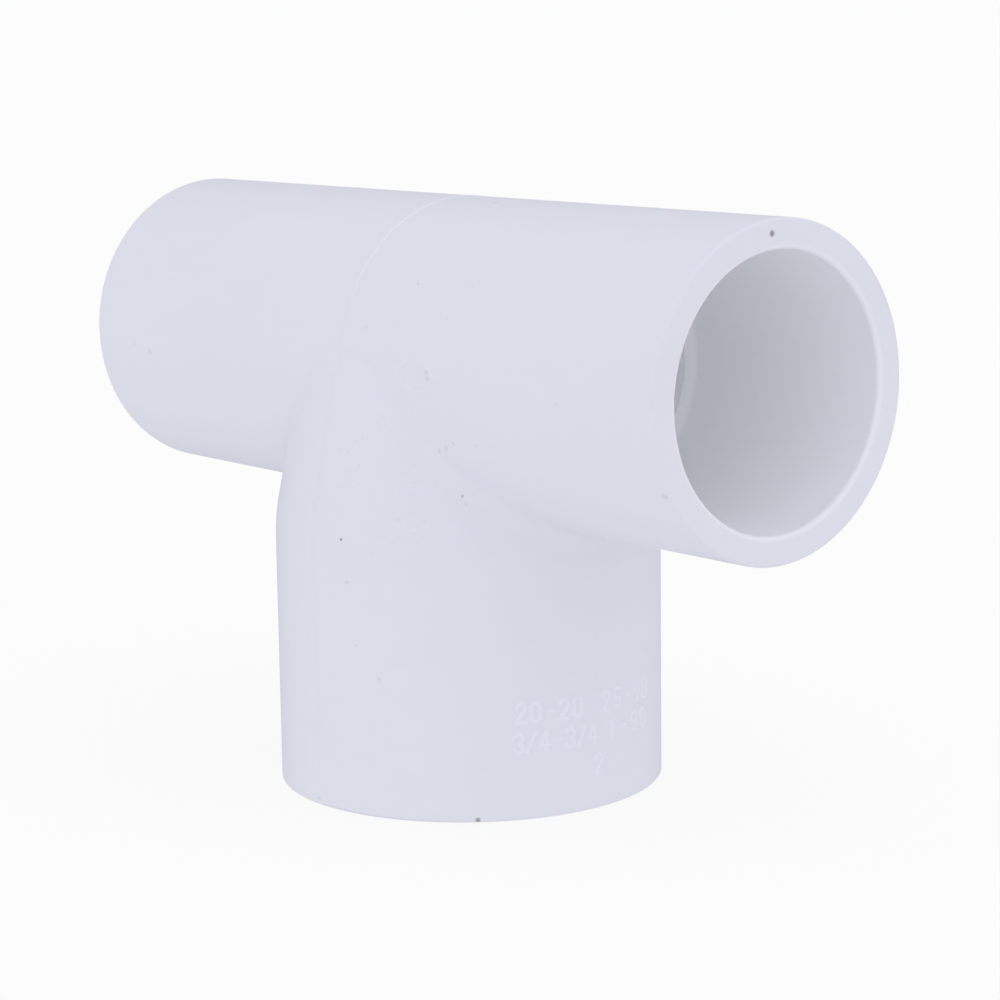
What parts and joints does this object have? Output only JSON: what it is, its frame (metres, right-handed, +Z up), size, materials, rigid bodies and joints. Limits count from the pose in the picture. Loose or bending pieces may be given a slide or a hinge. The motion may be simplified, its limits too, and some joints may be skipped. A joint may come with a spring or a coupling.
{
  "type": "pvc tee fitting",
  "caption": "White rigid PVC slip tee: equal sockets at the ends of a straight run and a larger branch socket square to it, for solvent-welded pipe.",
  "frame": {"origin": "centre of the branch mouth's flat face, which the tee stands on", "axes": "+Z up along the branch axis to the run, +X along the run, -Y is the front that carries the gate mark"},
  "size_m": [0.0924, 0.041, 0.0617],
  "materials": {
    "pvc_white": "as-moulded white rigid PVC with a satin gloss"
  },
  "bodies": {
    "root": {"centre_body": "pvc_white", "run_socket_left": "pvc_white", "run_socket_right": "pvc_white", "branch_socket": "pvc_white", "run_stop_left": "pvc_white", "run_stop_right": "pvc_white", "branch_stop": "pvc_white", "parting_line": "pvc_white", "gate_stub": "pvc_white", "size_marks": "pvc_white"}
  },
  "joints": []
}
